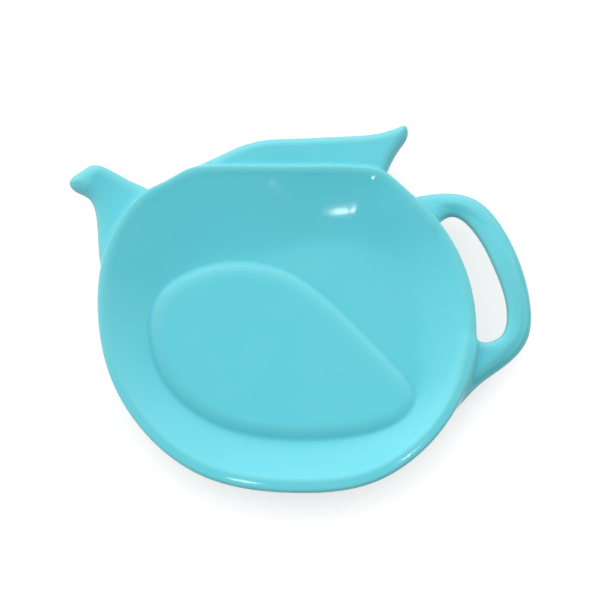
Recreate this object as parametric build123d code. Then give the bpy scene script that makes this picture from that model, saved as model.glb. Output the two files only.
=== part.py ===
from build123d import *

import math
import os

import numpy as np

# A teapot-shaped tea bag rest in glazed earthenware, in millimetres.
# Origin: middle of the bounding box, on the table. +X to the handle, +Y to the lid, +Z up.

# Heights above the table
FOOT_HEIGHT = 3.0
FLOOR_TOP = 6.0
RIM_TOP = 12.0

# The rim is a round bead, which the wall meets at these angles from its top
LIP_RADIUS = 1.7
LIP_HEIGHT = RIM_TOP - LIP_RADIUS
LIP_UNDER_ANGLE = 125
LIP_INNER_ANGLE = -20

# The wall is nearly straight from the floor to the bead, and a little hollow
WALL_EXPONENT = 1.15

# The pad is a low step whose shoulder is steepest at its foot
PAD_HEIGHT = 1.3
PAD_FOOT = 1.2
PAD_SHOULDER = 5.2

# The floor ends just past the pad, except that it is wide towards the upper right.
# There it takes this share of the way to the rim, in a direction in degrees and its spread.
FLOOR_MARGIN = 1.4
WIDE_FLOOR_SHARE = 0.6
WIDE_FLOOR_TURN = 45
WIDE_FLOOR_SPREAD = 40

# The foot ring stands under the edge of the pad
FOOT_WIDTH = 4.0
FOOT_EDGE = 0.6
FOOT_MARGIN = 0.6

# Flat tabs of the silhouette: lowest and highest point, and the rounding of their edges
SPOUT_LEVELS = (6.8, 15.0)
SPOUT_EDGE = 0.8
LID_LEVELS = (6.8, 10.6)
LID_EDGE = 0.8
HANDLE_LEVELS = (6.0, 11.6)
HANDLE_EDGE = 2.3

# The spout is dished along its length: lowest place of its top, direction of its length, radius
SPOUT_HOLLOW = (-48.0, 28.5, 10.0)
SPOUT_TURN = 146
SPOUT_HOLLOW_RADIUS = 42.0

# The wall is drawn on rays from the middle of the pad, and every closed line has this many points
PAD_CENTRE = (0.0, -14.0)
LINE_POINTS = 72

# Outer edge of the rim, anticlockwise from the handle's side
RIM_OUTLINE = [
    (46.3, -6.0),
    (44.1, 8.1),
    (38.2, 21.1),
    (32.0, 27.4),
    (26.7, 32.7),
    (23.2, 36.2),
    (17.0, 37.7),
    (-4.0, 38.0),
    (-22.5, 38.1),
    (-28.5, 36.8),
    (-33.9, 33.4),
    (-39.1, 30.6),
    (-47.8, 20.0),
    (-51.4, 8.0),
    (-51.6, -3.0),
    (-48.6, -18.0),
    (-39.3, -33.4),
    (-24.9, -44.8),
    (-1.0, -49.5),
    (20.0, -46.1),
    (27.8, -42.1),
    (34.5, -36.0),
    (43.5, -20.5),
]

# Middle of the pad's shoulder, anticlockwise from its narrow end
PAD_OUTLINE = [
    (30.2, -26.1),
    (29.2, -22.4),
    (25.0, -17.0),
    (9.5, -0.7),
    (-3.5, 8.7),
    (-16.0, 11.2),
    (-28.2, 8.4),
    (-36.2, 2.2),
    (-38.2, -7.9),
    (-34.9, -19.1),
    (-22.0, -30.6),
    (-5.0, -35.0),
    (11.0, -34.8),
    (23.6, -32.3),
    (28.6, -29.6),
]

# Spout, anticlockwise: its upper edge, its slanted mouth, its throat, then inside the dish
SPOUT_OUTLINE = [
    (-37.0, 29.6),
    (-44.5, 33.9),
    (-50.4, 37.2),
    (-54.6, 38.2),
    (-57.3, 36.6),
    (-60.6, 33.0),
    (-59.9, 31.6),
    (-55.6, 29.0),
    (-53.0, 22.7),
    (-52.1, 13.5),
    (-48.5, 6.0),
    (-44.0, 6.5),
    (-41.0, 15.0),
    (-34.0, 24.0),
]

# Lid, anticlockwise: right end, upturned point, long upper edge, left end, inside the dish
LID_OUTLINE = [
    (19.5, 27.5),
    (25.8, 40.1),
    (29.5, 47.2),
    (28.8, 49.4),
    (24.6, 48.4),
    (17.0, 46.9),
    (0.0, 45.9),
    (-10.7, 45.1),
    (-18.4, 42.3),
    (-25.2, 38.6),
    (-34.0, 31.0),
    (-30.0, 24.0),
    (0.0, 24.0),
    (13.0, 22.5),
]

# Handle: outer edge from the shoulder round to the foot of the loop, then its inner edge back
HANDLE_OUTLINE = [
    (39.2, -28.7),
    (46.1, -21.7),
    (54.8, -15.2),
    (59.8, -9.0),
    (61.0, -1.0),
    (59.2, 9.3),
    (54.0, 20.9),
    (46.7, 28.8),
    (38.6, 30.5),
    (29.5, 29.0),
    (17.0, 20.5),
    (16.0, 11.0),
    (25.0, 11.5),
    (35.0, 19.5),
    (41.2, 23.9),
    (47.4, 19.2),
    (52.1, 9.4),
    (54.9, -1.8),
    (53.0, -9.1),
    (48.0, -10.6),
    (40.0, -9.5),
    (30.0, -17.0),
    (30.0, -28.0),
    (34.6, -31.0),
]


def offset_outline(points, distance):
    """A closed anticlockwise outline moved outwards by a distance."""
    outline = Spline(points, periodic=True)
    moved = []
    for i in range(LINE_POINTS):
        place = outline.position_at(i / LINE_POINTS)
        along = outline.tangent_at(i / LINE_POINTS)
        moved.append((place.X + distance * along.Y, place.Y - distance * along.X))
    return moved


def outline_radii(points):
    """Distance of a closed outline from the middle of the pad, along each ray."""
    outline = Spline(points, periodic=True)
    steps = [outline.position_at(i / 1440) for i in range(1440)]
    across = [step.X - PAD_CENTRE[0] for step in steps]
    along = [step.Y - PAD_CENTRE[1] for step in steps]
    turns = np.degrees(np.arctan2(along, across))
    rays = np.arange(LINE_POINTS) * 360 / LINE_POINTS
    return np.interp(rays, turns, np.hypot(across, along), period=360)


def level_face(points, height):
    """The level face inside a closed outline."""
    return make_face(Spline([(x, y, height) for x, y in points], periodic=True))


def ring(radii, height):
    """The level face inside a line that is given by its distances along the rays."""
    points = []
    for i, radius in enumerate(radii):
        turn = 2 * math.pi * i / LINE_POINTS
        points.append((PAD_CENTRE[0] + radius * math.cos(turn), PAD_CENTRE[1] + radius * math.sin(turn)))
    return level_face(points, height)


def bead_point(angle):
    """How far out from the middle of the bead its surface is at an angle from its top, and how high."""
    turn = math.radians(angle)
    return LIP_RADIUS * math.sin(turn), LIP_HEIGHT + LIP_RADIUS * math.cos(turn)


def bead_ring(angle):
    """One line round the bead of the rim."""
    reach, height = bead_point(angle)
    return ring(lip + reach, height)


def wall_ring(share, bottom, angle):
    """One line round the wall, at a share of the way from the floor's edge to the bead."""
    reach, height = bead_point(angle)
    return ring(floor + share * (lip + reach - floor), bottom + (height - bottom) * share**WALL_EXPONENT)


def slab(points, levels):
    """A flat piece with a closed outline."""
    low, high = levels
    return extrude(level_face(points, low), amount=high - low)


def rounded(piece, edge_radius):
    """A flat piece with its upper and lower edges rounded."""
    faces = piece.faces().sort_by(Axis.Z)
    return fillet(faces[0].edges() + faces[-1].edges(), edge_radius)


def luted_to_dish(piece):
    """The part of a tab outside the dish, so that its end is a saddle fitted to the wall."""
    middle = Vector(*PAD_CENTRE, 0)
    return max((piece - dish).solids(), key=lambda solid: (solid.center() - middle).length)


def save(name, solid):
    solid.label = name
    export_step(solid, f"parts/{name}.step")
    box = solid.bounding_box()
    print(name, round(solid.volume, 1), solid.is_valid, box.min, box.max)


os.makedirs("parts", exist_ok=True)

rim = outline_radii(RIM_OUTLINE)
lip = rim - LIP_RADIUS
floor = outline_radii(offset_outline(PAD_OUTLINE, FLOOR_MARGIN))
turns = (np.arange(LINE_POINTS) * 360 / LINE_POINTS - WIDE_FLOOR_TURN + 180) % 360 - 180
floor += WIDE_FLOOR_SHARE * np.exp(-((turns / WIDE_FLOOR_SPREAD) ** 2)) * (lip - floor)

# Dish: a bowl outside, a round bead rolled over the rim, and a shallow bowl hollowed out
outside = loft([wall_ring(share, FOOT_HEIGHT, LIP_UNDER_ANGLE) for share in (0, 0.3, 0.6, 0.85, 1)])
bead = loft([bead_ring(angle) for angle in (LIP_UNDER_ANGLE, 90, 45, 0, LIP_INNER_ANGLE)])
hollow = loft([wall_ring(share, FLOOR_TOP, LIP_INNER_ANGLE) for share in (0, 0.25, 0.5, 0.75, 1)])
dish = (outside + bead - hollow).solid()

# Pad: a low egg-shaped step that lies on the floor, with a rounded shoulder
shoulder = []
for share in (0, 0.2, 0.4, 0.7, 1):
    rise = 1 - (1 - share) ** 2.2
    line = offset_outline(PAD_OUTLINE, PAD_FOOT - PAD_SHOULDER * share)
    shoulder.append(level_face(line, FLOOR_TOP + PAD_HEIGHT * rise))
tea_bag_pad = loft(shoulder, ruled=True).solid()

# Foot ring: the bare band under the edge of the floor
foot_outside = level_face(offset_outline(PAD_OUTLINE, FLOOR_MARGIN - FOOT_MARGIN), 0)
foot_inside = level_face(offset_outline(PAD_OUTLINE, FLOOR_MARGIN - FOOT_MARGIN - FOOT_WIDTH), 0)
foot_ring = extrude(foot_outside - foot_inside, amount=FOOT_HEIGHT)
foot_ring = fillet(foot_ring.faces().sort_by(Axis.Z)[0].edges(), FOOT_EDGE).solid()

# Spout, lid and handle: tabs luted to the outside of the dish
x, y, z = SPOUT_HOLLOW
roller = Rot(0, 0, SPOUT_TURN) * Rot(90, 0, 0) * Cylinder(SPOUT_HOLLOW_RADIUS, 100)
spout_slab = slab(SPOUT_OUTLINE, SPOUT_LEVELS) - Pos(x, y, z + SPOUT_HOLLOW_RADIUS) * roller
spout = luted_to_dish(rounded(spout_slab, SPOUT_EDGE))
lid = luted_to_dish(rounded(slab(LID_OUTLINE, LID_LEVELS), LID_EDGE))
handle = luted_to_dish(rounded(slab(HANDLE_OUTLINE, HANDLE_LEVELS), HANDLE_EDGE))

save("dish", dish)
save("tea_bag_pad", tea_bag_pad)
save("foot_ring", foot_ring)
save("spout", spout)
save("lid", lid)
save("handle", handle)
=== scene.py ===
import math

import bpy
import numpy as np
import openvdb
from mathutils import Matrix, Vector


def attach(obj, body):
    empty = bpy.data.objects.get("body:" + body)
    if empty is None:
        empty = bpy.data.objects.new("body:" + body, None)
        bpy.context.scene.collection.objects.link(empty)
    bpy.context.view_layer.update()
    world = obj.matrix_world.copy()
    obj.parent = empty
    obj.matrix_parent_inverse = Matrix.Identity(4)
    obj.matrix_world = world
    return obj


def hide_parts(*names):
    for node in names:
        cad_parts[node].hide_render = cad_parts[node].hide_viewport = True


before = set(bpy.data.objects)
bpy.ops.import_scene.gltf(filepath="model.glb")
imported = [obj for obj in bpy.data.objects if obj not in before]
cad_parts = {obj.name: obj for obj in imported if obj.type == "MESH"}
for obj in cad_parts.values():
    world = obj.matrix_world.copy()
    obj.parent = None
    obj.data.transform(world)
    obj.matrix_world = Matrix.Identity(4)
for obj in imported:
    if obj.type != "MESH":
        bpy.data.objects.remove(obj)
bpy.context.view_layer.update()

# Dish
# The body of the rest is a shallow earthenware bowl with a thick rim that is nearly flat on top.
# It is cast in one mould with its pad and tabs, fired, then dipped in a glossy turquoise glaze.

# Heights above the table and sizes of the rim and the wall. All sizes of the rest are in millimetres.
FOOT_HEIGHT = 3.0
FLOOR_TOP = 6.0
RIM_TOP = 12.0
RIM_WIDTH = 2.1
RIM_NARROWING = 1.0
RIM_FALL = 0.02
RIM_EDGE = 1.0
CREST = 0.5
CREST_SOFTENING = 4.0
UNDER_REACH = 0.3
UNDER_HEIGHT = 9.3
UNDER_EDGE = 1.6
PAD_CENTRE = np.array([0.0, -14.0])

# The floor turns up with a soft knee into a wall that is a little hollow and has a least length in plan.
# The knee is softest towards the upper right: its direction and spread.
KNEE = 1.2
WIDE_KNEE = 2.2
WIDE_FLOOR_TURN = math.radians(38)
WIDE_FLOOR_SPREAD = math.radians(50)
WALL_CURVE = 1.2
LEAST_WALL = 8.3
LEAST_WALL_BLEND = 4.0

# Outer edge of the rim, anticlockwise from the handle's side
RIM_OUTLINE = [
    (46.3, -6.0),
    (44.1, 8.1),
    (37.7, 20.9),
    (32.0, 27.4),
    (26.7, 32.7),
    (23.0, 35.6),
    (17.0, 36.9),
    (-4.0, 37.1),
    (-22.5, 37.2),
    (-28.5, 36.4),
    (-33.9, 33.4),
    (-39.1, 30.6),
    (-47.8, 20.0),
    (-51.4, 8.0),
    (-51.6, -3.0),
    (-48.6, -18.1),
    (-39.6, -33.6),
    (-25.1, -45.1),
    (-1.0, -49.9),
    (20.8, -46.7),
    (28.1, -42.4),
    (34.8, -36.3),
    (43.9, -20.7),
]

# Edge of the floor, which leaves the pad's edge at the upper right
FLOOR_OUTLINE = [
    (31.3, -26.0),
    (31.3, -16.0),
    (31.0, -4.0),
    (29.6, 6.5),
    (25.0, 14.2),
    (15.5, 17.2),
    (2.0, 17.0),
    (-8.0, 14.4),
    (-18.0, 12.7),
    (-28.7, 9.2),
    (-36.2, 2.7),
    (-38.1, -7.5),
    (-35.2, -19.0),
    (-22.4, -31.0),
    (-5.0, -35.5),
    (11.2, -35.3),
    (24.0, -32.7),
    (29.4, -29.9),
]


def closed_line(points, count=900):
    """Evenly spaced points on the smooth closed line through a few points."""
    ends = np.array(points)
    after = np.roll(ends, -1, axis=0)
    gaps = np.linalg.norm(after - ends, axis=1)
    size = len(ends)
    system = np.zeros((size, size))
    pull = np.zeros((size, 2))
    for i in range(size):
        system[i, i - 1] += gaps[i - 1]
        system[i, i] += 2 * (gaps[i - 1] + gaps[i])
        system[i, (i + 1) % size] += gaps[i]
        pull[i] = 6 * ((after[i] - ends[i]) / gaps[i] - (ends[i] - ends[i - 1]) / gaps[i - 1])
    bend = np.linalg.solve(system, pull)
    stations = np.concatenate(([0], np.cumsum(gaps)))
    along = np.arange(count) * stations[-1] / count
    run = np.searchsorted(stations, along, side="right") - 1
    late = ((along - stations[run]) / gaps[run])[:, None]
    early = 1 - late
    curve = (early**3 - early) * bend[run] + (late**3 - late) * bend[(run + 1) % size]
    return early * ends[run] + late * after[run] + curve * gaps[run, None] ** 2 / 6


def unit(vectors):
    return vectors / np.maximum(np.linalg.norm(vectors, axis=-1, keepdims=True), 1e-9)


def moved_out(line, distance):
    """A closed anticlockwise line moved outwards by a distance."""
    run = unit(np.roll(line, -1, axis=0) - np.roll(line, 1, axis=0))
    return line + distance * np.stack((run[:, 1], -run[:, 0]), axis=1)


def softened(line, reach):
    """A closed line with its corners evened out over a distance to both sides."""
    spacing = np.linalg.norm(line[1] - line[0])
    count = round(reach / spacing)
    return np.mean([np.roll(line, i, axis=0) for i in range(-count, count + 1)], axis=0)


def ray_lengths(line, turn):
    """Distance of a closed line from the middle of the pad, in some directions."""
    out = line - PAD_CENTRE
    lengths = np.hypot(out[:, 0], out[:, 1])
    return np.interp(turn, np.arctan2(out[:, 1], out[:, 0]), lengths, period=2 * math.pi)


def edge_distance(line, x, y):
    """Distance of places in the plan from a closed line, negative inside it."""
    nearest = np.full(x.shape, np.inf)
    inside = np.zeros(x.shape, bool)
    for start, end in zip(line, np.roll(line, -1, axis=0)):
        run = end - start
        share = np.clip(((x - start[0]) * run[0] + (y - start[1]) * run[1]) / (run @ run), 0, 1)
        across = x - start[0] - share * run[0]
        along = y - start[1] - share * run[1]
        nearest = np.minimum(nearest, across**2 + along**2)
        passed = (start[1] > y) != (end[1] > y)
        if passed.any():
            inside ^= passed & (x < start[0] + (y - start[1]) * run[0] / run[1])
    return np.where(inside, -1, 1) * np.sqrt(nearest)


def soft_least(first, second, reach):
    """The lesser of two values, lowered a little where they are nearly equal."""
    share = np.maximum(reach - np.abs(first - second), 0) / reach
    return np.minimum(first, second) - share**3 * reach / 6


def soft_most(first, second, reach):
    """The greater of two values, raised a little where they are nearly equal."""
    return -soft_least(-first, -second, reach)


rim_line = closed_line(RIM_OUTLINE)
rim_to_lid = unit(rim_line - PAD_CENTRE)[:, 1:]
crest_line = softened(moved_out(rim_line, RIM_NARROWING * rim_to_lid - RIM_WIDTH), CREST_SOFTENING)
under_line = moved_out(rim_line, -UNDER_REACH)
floor_line = closed_line(FLOOR_OUTLINE)


def block(low, high, step):
    """A plan grid and a column of heights that fill a box."""
    x, y, z = [np.arange(start, end, step) for start, end in zip(low, high)]
    x, y = np.meshgrid(x, y, indexing="ij")
    return x, y, z


def wall_level(x, y, bottom, end_line, height):
    """Height of one face of the floor and the wall over the plan, which ends at a line and a height."""
    turn = np.arctan2(y - PAD_CENTRE[1], x - PAD_CENTRE[0])
    out = np.hypot(x - PAD_CENTRE[0], y - PAD_CENTRE[1])
    end = ray_lengths(end_line, turn)
    start = soft_least(ray_lengths(floor_line, turn), end - LEAST_WALL, LEAST_WALL_BLEND)
    wide = np.exp(-(((turn - WIDE_FLOOR_TURN) / WIDE_FLOOR_SPREAD) ** 2))
    past = out - start
    length = end - start
    knee = KNEE + WIDE_KNEE * wide
    share = (past + np.hypot(past, knee)) / (length + np.hypot(length, knee))
    return bottom + (height - bottom) * share**WALL_CURVE


def face(x, level):
    """A level over the plan, and how much longer than in the plan its steepest lines are."""
    steep = np.gradient(level, x[1, 0] - x[0, 0])
    return level[..., None], np.sqrt(1 + steep[0] ** 2 + steep[1] ** 2)[..., None]


def dish_shape(x, y, z):
    """Distance from the dish's surface, negative in its clay."""
    side = edge_distance(rim_line, x, y)
    rim_level = RIM_TOP - RIM_FALL * (side + RIM_WIDTH)
    top = soft_least(wall_level(x, y, FLOOR_TOP, crest_line, RIM_TOP), rim_level, CREST)
    top, top_lean = face(x, top)
    under, under_lean = face(x, wall_level(x, y, FOOT_HEIGHT, under_line, UNDER_HEIGHT))
    clay = soft_most((z - top) / top_lean, side[..., None], RIM_EDGE)
    return soft_most(clay, (under - z) / under_lean, UNDER_EDGE)


# The mesh starts from a grid around the surface. Its points then settle on the surface in a few moves.
# Reach of the glazed skin and longest move, both in steps of the grid
FAR_AWAY = 10.0
SKIN_REACH = 0.5
SETTLING_MOVES = 3
LONGEST_MOVE = 0.4


def between(values, places):
    """Values of a grid at places between its points, counted in steps."""
    base = np.clip(np.floor(places).astype(int), 0, np.array(values.shape[:3]) - 2)
    part = places - base
    total = 0
    for corner in np.ndindex(2, 2, 2):
        weight = np.prod(np.where(corner, part, 1 - part), axis=1)
        total = total + weight[:, None] * values[tuple((base + corner).T)]
    return total


def slopes(values):
    return np.stack(np.gradient(values), axis=-1)


def largest_part(places, quads):
    """The points and the faces of the largest part of a mesh that hangs together."""
    part = np.arange(len(places))
    settled = False
    while not settled:
        lowest = part.copy()
        np.minimum.at(lowest, quads, part[quads].min(axis=1, keepdims=True))
        lowest = lowest[lowest]
        settled = (lowest == part).all()
        part = lowest
    kept = part == np.bincount(part).argmax()
    number = np.cumsum(kept) - 1
    return places[kept], number[quads[kept[quads[:, 0]]]]


def glazed_piece(name, shape, skin, low, step):
    """A closed mesh of a shape. Where it shows the glazed skin, it lies on that and takes its normals."""
    grid = openvdb.FloatGrid(FAR_AWAY)
    grid.copyFromArray(shape.astype(np.float32))
    places, quads = largest_part(*grid.convertToQuads(0.0))
    places = places.astype(float)
    on_skin = np.abs(between(skin[..., None], places)) < SKIN_REACH * step
    for _ in range(SETTLING_MOVES):
        gap = np.where(on_skin, between(skin[..., None], places), between(shape[..., None], places))
        lean = np.where(on_skin, between(slopes(skin), places), between(slopes(shape), places))
        move = gap * lean / np.maximum((lean**2).sum(axis=1, keepdims=True), 1e-9)
        places -= np.clip(move, -LONGEST_MOVE, LONGEST_MOVE)
    normals = unit(np.where(on_skin, between(slopes(skin), places), between(slopes(shape), places)))
    facing = unit(slopes(skin))
    bulge = sum(np.gradient(facing[..., axis], axis=axis) for axis in range(3)) / step
    mesh = bpy.data.meshes.new(name)
    mesh.from_pydata((places * step + low) * 0.001, [], quads.tolist())
    mesh.polygons.foreach_set("use_smooth", [True] * len(quads))
    mesh.normals_split_custom_set_from_vertices(normals)
    rounding = mesh.attributes.new("rounding", "FLOAT", "POINT")
    rounding.data.foreach_set("value", between(bulge[..., None], places)[:, 0])
    piece = bpy.data.objects.new(name, mesh)
    bpy.context.collection.objects.link(piece)
    mesh.materials.append(glaze)
    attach(piece, "root")
    return piece


# The glaze breaks paler over edges and pools deeper in hollows, and its surface is slightly wavy.
# The tones span this rounding per millimetre to both sides, and clouds shift them by this share.
GLAZE_POOLED = (0.075, 0.53, 0.63, 1)
GLAZE_BODY = (0.096, 0.575, 0.67, 1)
GLAZE_THIN = (0.13, 0.575, 0.63, 1)
TONE_ROUNDING = 0.5
CLOUD_SCALE = 70
CLOUD_SHIFT = 0.12
GLAZE_ROUGHNESS = 0.07
ROUGHNESS_CHANGE = 0.02
GRAIN_SCALE = 900
WAVE_SCALE = 130
WAVE_DEPTH_M = 0.00001
GLAZE_IOR = 1.5
NOISE_RANGE = (0.3, 0.7)


def link(material, source, target):
    material.node_tree.links.new(source, target)


def add_noise(material, scale, detail):
    nodes = material.node_tree.nodes
    place = nodes.new("ShaderNodeTexCoord")
    noise = nodes.new("ShaderNodeTexNoise")
    noise.inputs["Scale"].default_value = scale
    noise.inputs["Detail"].default_value = detail
    link(material, place.outputs["Object"], noise.inputs["Vector"])
    return noise.outputs["Fac"]


def add_range(material, value, low, high, to_low, to_high):
    node = material.node_tree.nodes.new("ShaderNodeMapRange")
    ends = {"From Min": low, "From Max": high, "To Min": to_low, "To Max": to_high}
    for name, end in ends.items():
        node.inputs[name].default_value = end
    link(material, value, node.inputs["Value"])
    return node.outputs["Result"]


glaze = bpy.data.materials.new("turquoise_glaze")
glaze.use_nodes = True
glaze_shader = glaze.node_tree.nodes["Principled BSDF"]
rounding = glaze.node_tree.nodes.new("ShaderNodeAttribute")
rounding.attribute_name = "rounding"
flow = glaze.node_tree.nodes.new("ShaderNodeMath")
flow.operation = "ADD"
tone_share = add_range(glaze, rounding.outputs["Fac"], -TONE_ROUNDING, TONE_ROUNDING, 0.0, 1.0)
clouds = add_range(glaze, add_noise(glaze, CLOUD_SCALE, 3), *NOISE_RANGE, -CLOUD_SHIFT, CLOUD_SHIFT)
link(glaze, tone_share, flow.inputs[0])
link(glaze, clouds, flow.inputs[1])
tone = glaze.node_tree.nodes.new("ShaderNodeValToRGB")
tone.color_ramp.elements[0].color = GLAZE_POOLED
tone.color_ramp.elements[1].color = GLAZE_THIN
tone.color_ramp.elements.new(0.5).color = GLAZE_BODY
link(glaze, flow.outputs[0], tone.inputs["Fac"])
link(glaze, tone.outputs["Color"], glaze_shader.inputs["Base Color"])
smoothest = GLAZE_ROUGHNESS - ROUGHNESS_CHANGE
roughest = GLAZE_ROUGHNESS + ROUGHNESS_CHANGE
roughness = add_range(glaze, add_noise(glaze, GRAIN_SCALE, 2), *NOISE_RANGE, smoothest, roughest)
link(glaze, roughness, glaze_shader.inputs["Roughness"])
waves = glaze.node_tree.nodes.new("ShaderNodeBump")
waves.inputs["Strength"].default_value = 1.0
waves.inputs["Distance"].default_value = WAVE_DEPTH_M
link(glaze, add_noise(glaze, WAVE_SCALE, 1), waves.inputs["Height"])
link(glaze, waves.outputs["Normal"], glaze_shader.inputs["Normal"])
glaze_shader.inputs["IOR"].default_value = GLAZE_IOR

DISH_STEP = 0.48
DISH_LOW = (-54.0, -51.5, 0.5)
DISH_HIGH = (48.5, 40.5, 14.5)
dish_clay = dish_shape(*block(DISH_LOW, DISH_HIGH, DISH_STEP))
dish = glazed_piece("dish_skin", dish_clay, dish_clay, DISH_LOW, DISH_STEP)
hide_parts("dish")

# Tea bag pad
# A low egg-shaped step on the floor of the dish, where the tea bag lies, of the same clay.
# It is part of the mould, and the glaze runs over its rounded shoulder without a break.
PAD_HEIGHT = 1.45
PAD_TILT = 0.012
PAD_FOOT = 0.5
PAD_SHOULDER = 5.3
PAD_SHOULDER_CHANGE = 0.7
PAD_ROUNDING = 3.2
PAD_FILLET = 0.9
PAD_STEP = 0.4
PAD_LOW = (-43.0, -39.5, 4.5)
PAD_HIGH = (35.0, 16.5, 9.8)

# Middle of the pad's shoulder
PAD_OUTLINE = [
    (30.2, -25.6),
    (29.2, -21.9),
    (25.0, -16.5),
    (9.5, -0.2),
    (-3.5, 9.2),
    (-16.0, 11.7),
    (-28.2, 8.9),
    (-36.2, 2.7),
    (-38.2, -7.4),
    (-34.9, -18.6),
    (-22.0, -30.1),
    (-5.0, -34.5),
    (11.0, -34.3),
    (23.6, -31.8),
    (28.6, -29.1),
]

# A root goes this far into the clay, and a piece ends where this share of its fillet has run out
OVERLAP = 1.0
FILLET_SHARE = 0.98


def luted(name, dish_clay, tab, fillet, low, step):
    """A piece joined to the dish with a fillet, with its root set a little way into the clay."""
    skin = soft_least(dish_clay, tab, fillet)
    root = np.maximum(-dish_clay - OVERLAP, tab - dish_clay - FILLET_SHARE * fillet)
    return glazed_piece(name, np.maximum(skin, root), skin, low, step)


x, y, z = block(PAD_LOW, PAD_HIGH, PAD_STEP)
pad_edge = edge_distance(closed_line(PAD_OUTLINE), x, y)
pad_to_lid = unit(np.stack((x, y), axis=-1) - PAD_CENTRE)[..., 1]
shoulder = PAD_SHOULDER + PAD_SHOULDER_CHANGE * pad_to_lid
pad_height = PAD_HEIGHT + PAD_TILT * (y - PAD_CENTRE[1])
rise = 1 - (1 - np.clip((PAD_FOOT - pad_edge) / shoulder, 0, 1)) ** PAD_ROUNDING
foot_slope = pad_height * PAD_ROUNDING / shoulder
pad_level = FLOOR_TOP + pad_height * rise - foot_slope * np.maximum(pad_edge - PAD_FOOT, 0)
pad_level, pad_lean = face(x, pad_level)
pad = (z - pad_level) / pad_lean
tea_bag_pad = luted("tea_bag_pad_skin", dish_shape(x, y, z), pad, PAD_FILLET, PAD_LOW, PAD_STEP)
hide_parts("tea_bag_pad")

# Spout
# A flat tab in the outline of a spout, of the same clay, cast on the outside of the rim.
# Its upper face is a little dished and its slanted mouth turns up.
SPOUT_UNDER = 6.8
SPOUT_MIDDLE = 8.4
SPOUT_TOP = 10.0
SPOUT_EDGE = 3.4
SPOUT_FILLET = 2.6
TAB_STEP = 0.35
SPOUT_LOW = (-64.0, 4.0, 5.0)
SPOUT_HIGH = (-34.0, 42.0, 15.0)

# Its upper face: lowest place, direction towards the mouth, curve, and how far it curves to both ends
SPOUT_HOLLOW = np.array([-47.4, 28.1])
SPOUT_AXIS = np.array([-0.83, 0.56])
SPOUT_CURVE = 0.014
SPOUT_DISHED = (-6.0, 9.0)

# Its upper edge, its slanted mouth, its throat, then inside the rim
SPOUT_OUTLINE = [
    (-37.0, 29.6),
    (-44.5, 33.9),
    (-50.4, 37.2),
    (-54.6, 38.2),
    (-57.3, 36.6),
    (-60.6, 33.0),
    (-59.9, 31.6),
    (-55.6, 29.0),
    (-53.0, 22.7),
    (-52.1, 13.5),
    (-48.5, 6.0),
    (-44.0, 6.5),
    (-41.0, 15.0),
    (-34.0, 24.0),
]


def tab_shape(x, y, z, outline, heights, edge):
    """Distance from a flat tab, widest between its under and upper face, which stops inside the rim."""
    under, middle, top = [np.broadcast_to(height, x.shape)[..., None] for height in heights]
    half = np.where(z > middle, top - middle, middle - under)
    edge = np.broadcast_to(edge, x.shape)[..., None]
    side = np.maximum(edge_distance(closed_line(outline), x, y)[..., None] / edge + 1, 0)
    rise = (z - middle) / half
    reach = np.hypot(side, rise)
    tab = (reach - 1) * reach / np.maximum(np.hypot(side / edge, rise / half), 1e-3)
    inside_rim = -edge_distance(crest_line, x, y)[..., None]
    outside = np.hypot(np.maximum(tab, 0), np.maximum(inside_rim, 0))
    return outside + np.minimum(np.maximum(tab, inside_rim), 0)


x, y, z = block(SPOUT_LOW, SPOUT_HIGH, TAB_STEP)
to_mouth = (x - SPOUT_HOLLOW[0]) * SPOUT_AXIS[0] + (y - SPOUT_HOLLOW[1]) * SPOUT_AXIS[1]
spout_top = SPOUT_TOP + SPOUT_CURVE * np.clip(to_mouth, *SPOUT_DISHED) ** 2
spout_heights = (SPOUT_UNDER, SPOUT_MIDDLE, spout_top)
spout_tab = tab_shape(x, y, z, SPOUT_OUTLINE, spout_heights, SPOUT_EDGE)
spout = luted("spout_skin", dish_shape(x, y, z), spout_tab, SPOUT_FILLET, SPOUT_LOW, TAB_STEP)
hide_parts("spout")

# Lid
# A flat leaf-shaped tab along the straight top edge of the dish, with a curved point at its right end.
# It is of the same clay, cast on the rim, and lies a little lower than the rim's crest.
LID_HEIGHTS = (6.8, 7.9, 10.6)
LID_EDGE = 2.8
LID_FILLET = 2.4
LID_LOW = (-38.0, 26.0, 5.0)
LID_HIGH = (33.0, 52.5, 14.5)

# Its right end, its point, its long upper edge, its left end, then inside the rim
LID_OUTLINE = [
    (19.5, 27.5),
    (25.8, 40.1),
    (27.8, 43.3),
    (29.8, 48.0),
    (29.2, 49.5),
    (27.4, 49.2),
    (22.3, 47.5),
    (10.2, 46.4),
    (0.0, 45.9),
    (-10.7, 45.1),
    (-16.1, 43.3),
    (-22.4, 40.2),
    (-34.0, 31.0),
    (-30.0, 24.0),
    (0.0, 24.0),
    (13.0, 22.5),
]
x, y, z = block(LID_LOW, LID_HIGH, TAB_STEP)
lid_tab = tab_shape(x, y, z, LID_OUTLINE, LID_HEIGHTS, LID_EDGE)
lid = luted("lid_skin", dish_shape(x, y, z), lid_tab, LID_FILLET, LID_LOW, TAB_STEP)
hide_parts("lid")

# Handle
# A rounded bar bent into a loop, of the same clay, joined to the rim at both ends.
# Its roots dip a little below the rim, and the glaze fills the hollows there.
HANDLE_UNDER = 6.0
HANDLE_TOP = 11.6
ROOT_DIP = 0.7
ROOT_DIP_REACH = 8.0
HANDLE_FILLET = 4.2
HANDLE_LOW = (13.0, -36.0, 4.5)
HANDLE_HIGH = (63.5, 35.0, 14.5)

# The bar is highest and steepest on its inner side, and falls away across the loop to a rounder outer side
LOOP_CENTRE = (33.0, 1.0)
LOOP_RADIUS = 19.0
LOOP_WIDTH = 7.0
INNER_MIDDLE = 9.6
OUTER_MIDDLE = 7.8
INNER_EDGE = 1.8
OUTER_EDGE = 4.6
HANDLE_FALL = 0.16

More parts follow.
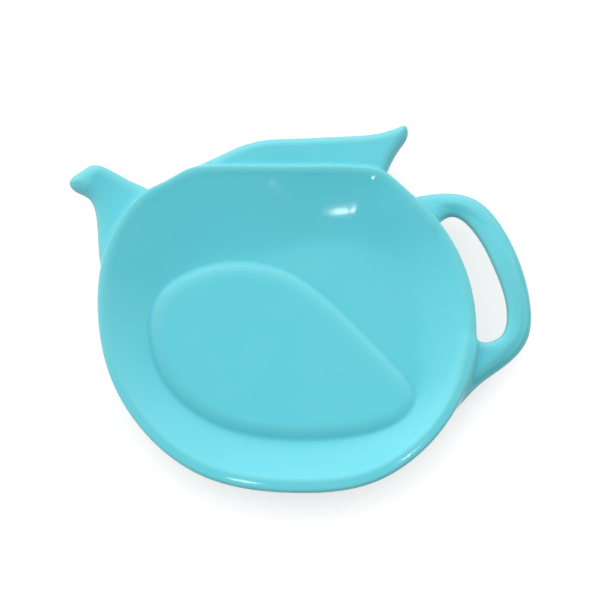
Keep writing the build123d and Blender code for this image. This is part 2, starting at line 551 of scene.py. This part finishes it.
# Its outer edge up to the shoulder, then its inner edge back, with both ends in the dish
HANDLE_OUTLINE = [
    (39.4, -28.9),
    (46.4, -22.0),
    (55.0, -15.5),
    (60.0, -9.1),
    (61.0, -1.0),
    (59.2, 9.3),
    (54.3, 21.0),
    (46.9, 29.0),
    (38.6, 30.5),
    (29.5, 29.0),
    (17.0, 20.5),
    (16.0, 11.0),
    (25.0, 11.5),
    (35.0, 19.5),
    (41.2, 23.9),
    (47.0, 18.9),
    (51.6, 9.3),
    (54.5, -1.8),
    (52.6, -8.9),
    (48.0, -10.6),
    (40.0, -9.5),
    (30.0, -17.0),
    (30.0, -28.0),
    (34.6, -31.0),
]
x, y, z = block(HANDLE_LOW, HANDLE_HIGH, TAB_STEP)
out = np.hypot(x - LOOP_CENTRE[0], y - LOOP_CENTRE[1])
across = np.clip(out - LOOP_RADIUS, 0, LOOP_WIDTH)
dip = ROOT_DIP * (1 - np.clip(edge_distance(rim_line, x, y) / ROOT_DIP_REACH, 0, 1)) ** 2
handle_middle = INNER_MIDDLE + (OUTER_MIDDLE - INNER_MIDDLE) * across / LOOP_WIDTH - dip
handle_edge = INNER_EDGE + (OUTER_EDGE - INNER_EDGE) * across / LOOP_WIDTH
handle_heights = (HANDLE_UNDER, handle_middle, HANDLE_TOP - HANDLE_FALL * across - dip)
handle_tab = tab_shape(x, y, z, HANDLE_OUTLINE, handle_heights, handle_edge)
handle = luted("handle_skin", dish_shape(x, y, z), handle_tab, HANDLE_FILLET, HANDLE_LOW, TAB_STEP)
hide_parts("handle")

# Foot ring
# The band under the edge of the floor that the dish stands on, of the same clay.
# It is wiped bare before the glaze firing, so it shows the pale, dry, speckled clay.
CLAY_PALE = (0.66, 0.58, 0.47, 1)
CLAY_DARK = (0.46, 0.37, 0.27, 1)
CLAY_ROUGHNESS = 0.85
SPECKLE_SCALE = 700
SPECKLE_RANGE = (0.35, 0.6)
GRIT_SCALE = 2500
GRIT_STRENGTH = 0.5
GRIT_DEPTH_M = 0.0001
clay = bpy.data.materials.new("bare_clay")
clay.use_nodes = True
clay_shader = clay.node_tree.nodes["Principled BSDF"]
clay_tone = clay.node_tree.nodes.new("ShaderNodeValToRGB")
for stop, position, colour in zip(clay_tone.color_ramp.elements, SPECKLE_RANGE, (CLAY_DARK, CLAY_PALE)):
    stop.position = position
    stop.color = colour
link(clay, add_noise(clay, SPECKLE_SCALE, 6), clay_tone.inputs["Fac"])
link(clay, clay_tone.outputs["Color"], clay_shader.inputs["Base Color"])
clay_shader.inputs["Roughness"].default_value = CLAY_ROUGHNESS
grit = clay.node_tree.nodes.new("ShaderNodeBump")
grit.inputs["Strength"].default_value = GRIT_STRENGTH
grit.inputs["Distance"].default_value = GRIT_DEPTH_M
link(clay, add_noise(clay, GRIT_SCALE, 4), grit.inputs["Height"])
link(clay, grit.outputs["Normal"], clay_shader.inputs["Normal"])
foot_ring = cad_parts["foot_ring"]
foot_ring.data.materials.clear()
foot_ring.data.materials.append(clay)

# Table
# A plain white surface under the rest, which shows its soft shadow.
# Seen directly or in a reflection it is white, and it throws little light back at the rest.
TABLE_SIZE_M = 6.0
TABLE_BOUNCE = (0.2, 0.2, 0.2, 1)
TABLE_SHADE = (0.65, 0.65, 0.65, 1)
TABLE_GLOW = 0.55
table_mesh = bpy.data.meshes.new("table")
half = TABLE_SIZE_M / 2
corners = [(-half, -half, 0), (half, -half, 0), (half, half, 0), (-half, half, 0)]
table_mesh.from_pydata(corners, [], [(0, 1, 2, 3)])
table = bpy.data.objects.new("table", table_mesh)
bpy.context.collection.objects.link(table)
paper = bpy.data.materials.new("white_table")
paper.use_nodes = True
paper.node_tree.nodes.clear()


def seen_rays(tree):
    """1 for a ray that the camera sends, also by way of a mirror or glass."""
    path = tree.nodes.new("ShaderNodeLightPath")
    total = path.outputs["Is Camera Ray"]
    for kind in ("Is Glossy Ray", "Is Transmission Ray"):
        larger = tree.nodes.new("ShaderNodeMath")
        larger.operation = "MAXIMUM"
        tree.links.new(total, larger.inputs[0])
        tree.links.new(path.outputs[kind], larger.inputs[1])
        total = larger.outputs[0]
    return total


plain = paper.node_tree.nodes.new("ShaderNodeBsdfDiffuse")
plain.inputs["Color"].default_value = TABLE_BOUNCE
shaded = paper.node_tree.nodes.new("ShaderNodeBsdfDiffuse")
shaded.inputs["Color"].default_value = TABLE_SHADE
white = paper.node_tree.nodes.new("ShaderNodeEmission")
white.inputs["Strength"].default_value = TABLE_GLOW
both = paper.node_tree.nodes.new("ShaderNodeAddShader")
choice = paper.node_tree.nodes.new("ShaderNodeMixShader")
paper_out = paper.node_tree.nodes.new("ShaderNodeOutputMaterial")
link(paper, shaded.outputs[0], both.inputs[0])
link(paper, white.outputs[0], both.inputs[1])
link(paper, seen_rays(paper.node_tree), choice.inputs["Fac"])
link(paper, plain.outputs[0], choice.inputs[1])
link(paper, both.outputs[0], choice.inputs[2])
link(paper, choice.outputs[0], paper_out.inputs["Surface"])
table_mesh.materials.append(paper)

# Light
# A white tent, brighter on the far side and dimmer close to the table, most of all at the near right.
# The tent gives the soft shading, and a few small lamps give the sharp highlights on the glaze.
# Each lamp has a snoot: its place across and along, its width and depth, and where it points, in metres.
TENT_LEVEL = 1.78
TENT_GRADIENT = (-0.18, 0.78, -1.0)
TENT_UPRIGHT = (-0.2, 0.2, 1.0)
TENT_FOOT = 0.2
TENT_FOOT_SHARE = 0.15
LAMP_HEIGHT = 0.81
LAMP_STRENGTH = 110
LAMP_SPREAD = math.radians(2)
LAMPS = [
    (0.0157, -0.230, 0.014, 0.018, 0.0120, 0.0235),
    (0.0014, -0.230, 0.022, 0.018, 0.0115, 0.0245),
    (-0.0232, -0.230, 0.022, 0.018, 0.0160, 0.0244),
    (-0.130, -0.298, 0.050, 0.034, 0.0196, 0.0320),
    (-0.048, 0.041, 0.020, 0.020, -0.0162, -0.0476),
    (0.106, 0.064, 0.016, 0.016, 0.0289, -0.0410),
]
world = bpy.data.worlds.new("white_tent")
bpy.context.scene.world = world
world.use_nodes = True
tent = world.node_tree
backdrop = tent.nodes["Background"]
backdrop.inputs["Color"].default_value = (1, 1, 1, 1)
direction = tent.nodes.new("ShaderNodeTexCoord")
gradient = tent.nodes.new("ShaderNodeVectorMath")
gradient.operation = "DOT_PRODUCT"
gradient.inputs[1].default_value = TENT_GRADIENT
level = tent.nodes.new("ShaderNodeMath")
level.operation = "ADD"
level.inputs[1].default_value = TENT_LEVEL
lowest = tent.nodes.new("ShaderNodeMath")
lowest.operation = "MAXIMUM"
lowest.inputs[1].default_value = 0.0
tent.links.new(direction.outputs["Generated"], gradient.inputs[0])
tent.links.new(gradient.outputs["Value"], level.inputs[0])
tent.links.new(level.outputs[0], lowest.inputs[0])
upright = tent.nodes.new("ShaderNodeVectorMath")
upright.operation = "DOT_PRODUCT"
upright.inputs[1].default_value = TENT_UPRIGHT
dimming = tent.nodes.new("ShaderNodeMapRange")
dimming.inputs["From Max"].default_value = TENT_FOOT
dimming.inputs["To Min"].default_value = TENT_FOOT_SHARE
strength = tent.nodes.new("ShaderNodeMath")
strength.operation = "MULTIPLY"
tent.links.new(direction.outputs["Generated"], upright.inputs[0])
tent.links.new(upright.outputs["Value"], dimming.inputs["Value"])
tent.links.new(lowest.outputs[0], strength.inputs[0])
tent.links.new(dimming.outputs["Result"], strength.inputs[1])
tent.links.new(strength.outputs[0], backdrop.inputs["Strength"])
half_spread = LAMP_SPREAD / 2
for lamp_across, lamp_along, lamp_width, lamp_depth, spot_across, spot_along in LAMPS:
    lamp_data = bpy.data.lights.new("overhead_lamp", "AREA")
    lamp_data.shape = "RECTANGLE"
    lamp_data.size = lamp_width
    lamp_data.size_y = lamp_depth
    lamp_data.spread = LAMP_SPREAD
    lamp_data.energy = LAMP_STRENGTH * lamp_width * lamp_depth * (1 - half_spread / math.tan(half_spread))
    lamp = bpy.data.objects.new("overhead_lamp", lamp_data)
    lamp.location = (lamp_across, lamp_along, LAMP_HEIGHT)
    back = Vector((lamp_across - spot_across, lamp_along - spot_along, LAMP_HEIGHT))
    lamp.rotation_euler = back.to_track_quat("Z", "Y").to_euler()
    bpy.context.collection.objects.link(lamp)

# Camera
# It looks down at the rest from the front, 15 degrees off the vertical, with a long lens.
# Its distance and the place it looks at are in metres, the lens and its sensor in millimetres.
CAMERA_LENS = 100
CAMERA_SENSOR = 36
CAMERA_DISTANCE = 0.4345
CAMERA_ELEVATION = math.radians(75)
CAMERA_TARGET = (0.00075, 0.0009, 0.009)
camera_data = bpy.data.cameras.new("camera")
camera_data.lens = CAMERA_LENS
camera_data.sensor_width = CAMERA_SENSOR
camera = bpy.data.objects.new("camera", camera_data)
camera.location = (
    CAMERA_TARGET[0],
    CAMERA_TARGET[1] - CAMERA_DISTANCE * math.cos(CAMERA_ELEVATION),
    CAMERA_TARGET[2] + CAMERA_DISTANCE * math.sin(CAMERA_ELEVATION),
)
camera.rotation_euler = (math.pi / 2 - CAMERA_ELEVATION, 0, 0)
bpy.context.collection.objects.link(camera)
bpy.context.scene.camera = camera
bpy.context.scene.view_settings.view_transform = "Standard"
